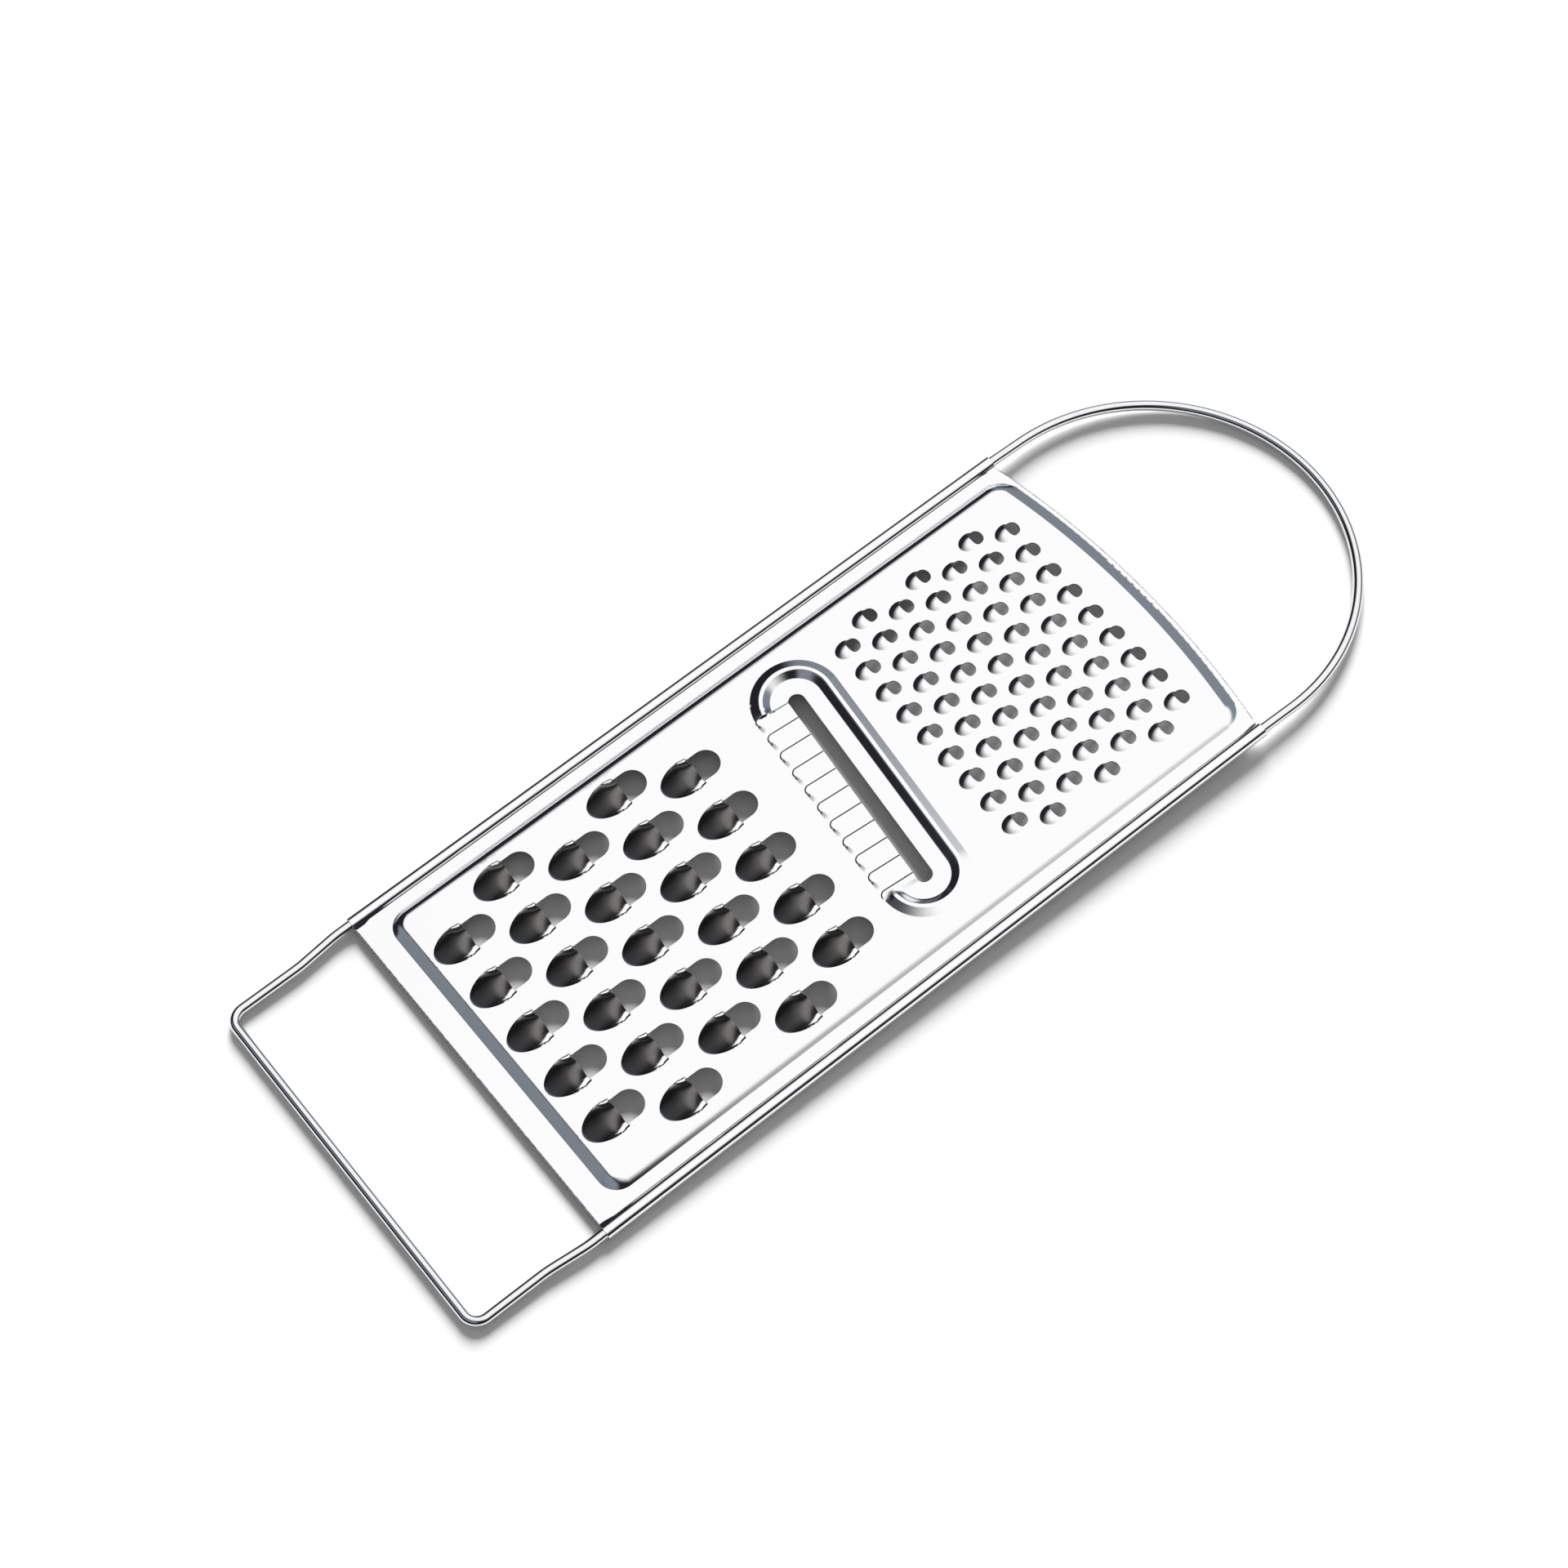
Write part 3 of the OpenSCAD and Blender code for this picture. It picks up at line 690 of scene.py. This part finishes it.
def node_material(name):
    """A new material with one shader."""
    mat = bpy.data.materials.new(name)
    mat.use_nodes = True
    nt = mat.node_tree
    nt.nodes.clear()
    out = nt.nodes.new("ShaderNodeOutputMaterial")
    bsdf = nt.nodes.new("ShaderNodeBsdfPrincipled")
    nt.links.new(bsdf.outputs["BSDF"], out.inputs["Surface"])
    return mat, nt, bsdf


def add_node(nt, kind, **values):
    """A shader node with the given input values."""
    node = nt.nodes.new(kind)
    for key, value in values.items():
        node.inputs[key.replace("_", " ")].default_value = value
    return node


def blend(nt, low, high, factor, kind="FLOAT"):
    """A mix of two values or colours, driven by another node's output."""
    mix = nt.nodes.new("ShaderNodeMix")
    mix.data_type = kind
    names = {"FLOAT": "A_Float B_Float Factor_Float Result_Float",
             "RGBA": "A_Color B_Color Factor_Float Result_Color"}[kind].split()
    sockets = {k.identifier: k for k in list(mix.inputs) + list(mix.outputs)}
    for name, value in zip(names, (low, high, factor)):
        if isinstance(value, bpy.types.NodeSocket):
            nt.links.new(value, sockets[name])
        else:
            sockets[name].default_value = value
    return sockets[names[3]]


def steel(name, colour, rough, grain, bump, hood_shade_colour=None):
    """Bright steel with a fine rolled grain; the last argument is the colour of shade painted onto
    its drawn hoods.
    """
    mat, nt, bsdf = node_material(name)
    bsdf.inputs["Metallic"].default_value = 1.0
    coord = nt.nodes.new("ShaderNodeTexCoord")
    stretch = add_node(nt, "ShaderNodeMapping", Scale=grain)
    noise = add_node(nt, "ShaderNodeTexNoise", Scale=1.0, Detail=4.0)
    nt.links.new(coord.outputs["Object"], stretch.inputs["Vector"])
    nt.links.new(stretch.outputs["Vector"], noise.inputs["Vector"])
    grain_out = noise.outputs["Fac"]
    dull = blend(nt, rough * 0.8, rough * 1.2, grain_out)
    hue = blend(nt, (*[c * 0.97 for c in colour], 1), (*colour, 1), grain_out, "RGBA")
    if hood_shade_colour:
        # painted shade: the coarse teeth's hoods take a darker colour, and also a rougher finish
        where = nt.nodes.new("ShaderNodeAttribute")
        where.attribute_name = "hood_painted_shade"
        dark = blend(nt, (*[c * 0.75 for c in hood_shade_colour], 1), (*hood_shade_colour, 1), grain_out, "RGBA")
        hue = blend(nt, hue, dark, where.outputs["Fac"], "RGBA")
        dull = blend(nt, dull, DRAWN_ROUGH, where.outputs["Fac"])
    nt.links.new(dull, bsdf.inputs["Roughness"])
    nt.links.new(hue, bsdf.inputs["Base Color"])
    relief_node = add_node(nt, "ShaderNodeBump", Strength=bump, Distance=0.00002)
    nt.links.new(grain_out, relief_node.inputs["Height"])
    nt.links.new(relief_node.outputs["Normal"], bsdf.inputs["Normal"])
    return mat


def plate_top_steel():
    # the dark colour is shade painted onto the coarse teeth's hoods
    return steel("plate_sheet_steel", (0.9, 0.9, 0.91), 0.1, (60, 900, 900), 0.15,
                 hood_shade_colour=(0.21, 0.2, 0.195))


def plate_cut_edge():
    # darker than the top steel: partly the duller sheared face, partly painted shade for the dark
    # line along the cut edges
    return steel("plate_cut_edge", (0.5, 0.5, 0.51), 0.35, (2000, 2000, 2000), 0.3)


def plate_underside_steel():
    """Darker than the top, as painted shade: the colour is kept low so that little light is thrown
    back and forth under the plate.
    """
    return steel("plate_underside_steel", (0.42, 0.42, 0.43), 0.3, (60, 900, 900), 0.15)


def frame_wire_steel():
    return steel("frame_wire_steel", (0.84, 0.84, 0.85), 0.08, (300, 300, 300), 0.1)


def floor_material():
    mat, nt, bsdf = node_material("paper_floor")
    bsdf.inputs["Base Color"].default_value = (0.9, 0.9, 0.9, 1)
    bsdf.inputs["Roughness"].default_value = 0.9
    coord = nt.nodes.new("ShaderNodeTexCoord")
    noise = add_node(nt, "ShaderNodeTexNoise", Scale=900.0)
    nt.links.new(coord.outputs["Object"], noise.inputs["Vector"])
    bump = add_node(nt, "ShaderNodeBump", Strength=0.03, Distance=0.0001)
    nt.links.new(noise.outputs["Fac"], bump.inputs["Height"])
    nt.links.new(bump.outputs["Normal"], bsdf.inputs["Normal"])
    return mat


# The object
sheet = build_sheet()
sheet.data.materials.append(plate_top_steel())
sheet.data.materials.append(plate_cut_edge())
sheet.data.materials.append(plate_underside_steel())
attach(sheet, "root")
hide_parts("grating_plate")

wire = build_wire()
wire.data.materials.append(frame_wire_steel())
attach(wire, "root")
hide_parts("wire_frame")


# The stage
FLOOR_GAP = 0.02
TIP_X = 247.0
FLOOR_HALF_METRES = 3.0
SUN_FROM = (0.75, 0.8, 0.7)
SUN_STRENGTH = 5.2
SUN_WIDTH = math.radians(28)
AMBIENT = 0.28
STUDIO_DARK = (0.016, 0.016, 0.02, 1)
STUDIO_WALL = (0.23, 0.255, 0.295, 1)
STUDIO_CEILING = (1.1, 1.1, 1.1, 1)


def build_floor():
    """Floor just under the foot ends of the rolled edges and the tip of the handle."""
    low = HEM_MID_R + SHEET / 2 + FLOOR_GAP
    tilt = math.atan2(FLOOR_GAP - ORIGIN_Z - low, TIP_X)
    foot = Vector((-ORIGIN_X * MM, 0, (-low - ORIGIN_Z) * MM))
    size = FLOOR_HALF_METRES
    mesh = bpy.data.meshes.new("floor")
    square = [(-size, -size, 0), (size, -size, 0), (size, size, 0), (-size, size, 0)]
    mesh.from_pydata(square, [], [(0, 1, 2, 3)])
    obj = bpy.data.objects.new("floor", mesh)
    obj.matrix_world = Matrix.Translation(foot) @ Matrix.Rotation(tilt, 4, "Y")
    mesh.materials.append(floor_material())
    bpy.context.scene.collection.objects.link(obj)


def fade(nt, value, low, high):
    """0 to 1, softly, as a value goes from low to high."""
    node = add_node(nt, "ShaderNodeMapRange", From_Min=low, From_Max=high)
    node.interpolation_type = "SMOOTHSTEP"
    nt.links.new(value, node.inputs["Value"])
    return node.outputs["Result"]


def math_node(nt, kind, a, b, c=0.0):
    """The outcome of a calculation with values or other nodes' outputs."""
    node = nt.nodes.new("ShaderNodeMath")
    node.operation = kind
    for i, value in enumerate((a, b, c)):
        if isinstance(value, bpy.types.NodeSocket):
            nt.links.new(value, node.inputs[i])
        else:
            node.inputs[i].default_value = value
    return node.outputs["Value"]


def mirrored_studio(nt):
    """Colour that the steel mirrors, by direction."""
    coord = nt.nodes.new("ShaderNodeTexCoord")
    split = nt.nodes.new("ShaderNodeSeparateXYZ")
    nt.links.new(coord.outputs["Generated"], split.inputs["Vector"])
    x, y, z = (split.outputs[k] for k in "XYZ")
    lean = math_node(nt, "MULTIPLY_ADD", x, 0.6, z)
    # the white ceiling ends low down, and sooner on the side behind the foot
    ceiling = math_node(nt, "MULTIPLY", fade(nt, z, 0.42, 0.58), fade(nt, lean, 0.60, 0.98))
    # grey walls beyond the foot and the handle only, dark near the camera and low down
    ends = fade(nt, math_node(nt, "ABSOLUTE", x, 0.0), 0.38, 0.58)
    side = math_node(nt, "MULTIPLY", fade(nt, y, -0.75, -0.35), ends)
    low = math_node(nt, "MULTIPLY", fade(nt, z, 0.06, 0.25), fade(nt, lean, 0.08, 0.2))
    walls = math_node(nt, "MULTIPLY", side, low)
    wall_colour = blend(nt, STUDIO_DARK, STUDIO_WALL, walls, "RGBA")
    return blend(nt, wall_colour, STUDIO_CEILING, ceiling, "RGBA")


def build_world():
    """Soft light from all round, white for the camera, and the dark and bright sides of a
    photo studio for what the steel mirrors."""
    world = bpy.data.worlds.new("studio")
    bpy.context.scene.world = world
    world.use_nodes = True
    nt = world.node_tree
    nt.nodes.clear()
    seen = mirrored_studio(nt)
    out = nt.nodes.new("ShaderNodeOutputWorld")
    ray = nt.nodes.new("ShaderNodeLightPath")
    ambient = add_node(nt, "ShaderNodeBackground", Color=(1, 1, 1, 1), Strength=AMBIENT)
    white = add_node(nt, "ShaderNodeBackground", Color=(1, 1, 1, 1), Strength=1.0)
    room = add_node(nt, "ShaderNodeBackground", Strength=1.0)
    nt.links.new(seen, room.inputs["Color"])
    first = nt.nodes.new("ShaderNodeMixShader")
    nt.links.new(ray.outputs["Is Glossy Ray"], first.inputs["Fac"])
    nt.links.new(ambient.outputs["Background"], first.inputs[1])
    nt.links.new(room.outputs["Background"], first.inputs[2])
    second = nt.nodes.new("ShaderNodeMixShader")
    nt.links.new(ray.outputs["Is Camera Ray"], second.inputs["Fac"])
    nt.links.new(first.outputs["Shader"], second.inputs[1])
    nt.links.new(white.outputs["Background"], second.inputs[2])
    nt.links.new(second.outputs["Shader"], out.inputs["Surface"])


def aim(obj, place, target):
    """Put an object in a place and point it at a target."""
    obj.location = place
    obj.rotation_euler = (Vector(target) - Vector(place)).to_track_quat("-Z", "Y").to_euler()


def build_lights():
    """One soft sun from beyond the handle and the left side, which the steel doesn't mirror."""
    key = bpy.data.lights.new("key_softbox", "SUN")
    key.energy = SUN_STRENGTH
    key.angle = SUN_WIDTH
    obj = bpy.data.objects.new("key_softbox", key)
    aim(obj, SUN_FROM, (0, 0, 0))
    obj.visible_glossy = False
    bpy.context.scene.collection.objects.link(obj)


# Camera fitted to the photo's teeth, hems and wire, then moved by under half a millimetre:
# rows point right, down and forward, and the place is in millimetres
CAMERA_ROWS = ((0.7808796, -0.6205799, -0.0714676),
               (-0.5765784, -0.6719913, -0.4647420),
               (0.2403839, 0.4041142, -0.8825572))
CAMERA_PLACE = (-183.02, -299.24, 678.43)
CAMERA_LENS = 77.01
SENSOR_WIDTH = 36.0
# Zero of the fitted frame, from the foot edge and from the middle of the rolled edges
FIT_ZERO = (95.2, 0, 1.8)


def build_camera():
    """Camera at the photo's angle."""
    r = np.array(CAMERA_ROWS)
    c = np.array(CAMERA_PLACE)
    cam = bpy.data.cameras.new("camera")
    cam.sensor_fit = "HORIZONTAL"
    cam.sensor_width = SENSOR_WIDTH
    cam.lens = CAMERA_LENS
    cam.clip_start = 0.05
    obj = bpy.data.objects.new("camera", cam)
    m = Matrix(((r.T @ np.diag([1.0, -1.0, -1.0])).tolist())).to_4x4()
    place = (c + [FIT_ZERO[0] - ORIGIN_X, FIT_ZERO[1], FIT_ZERO[2] - ORIGIN_Z]) * MM
    obj.matrix_world = Matrix.Translation(Vector(place)) @ m
    bpy.context.scene.collection.objects.link(obj)
    bpy.context.scene.camera = obj


build_floor()
build_world()
build_lights()
build_camera()

scene = bpy.context.scene
scene.view_settings.view_transform = "Standard"
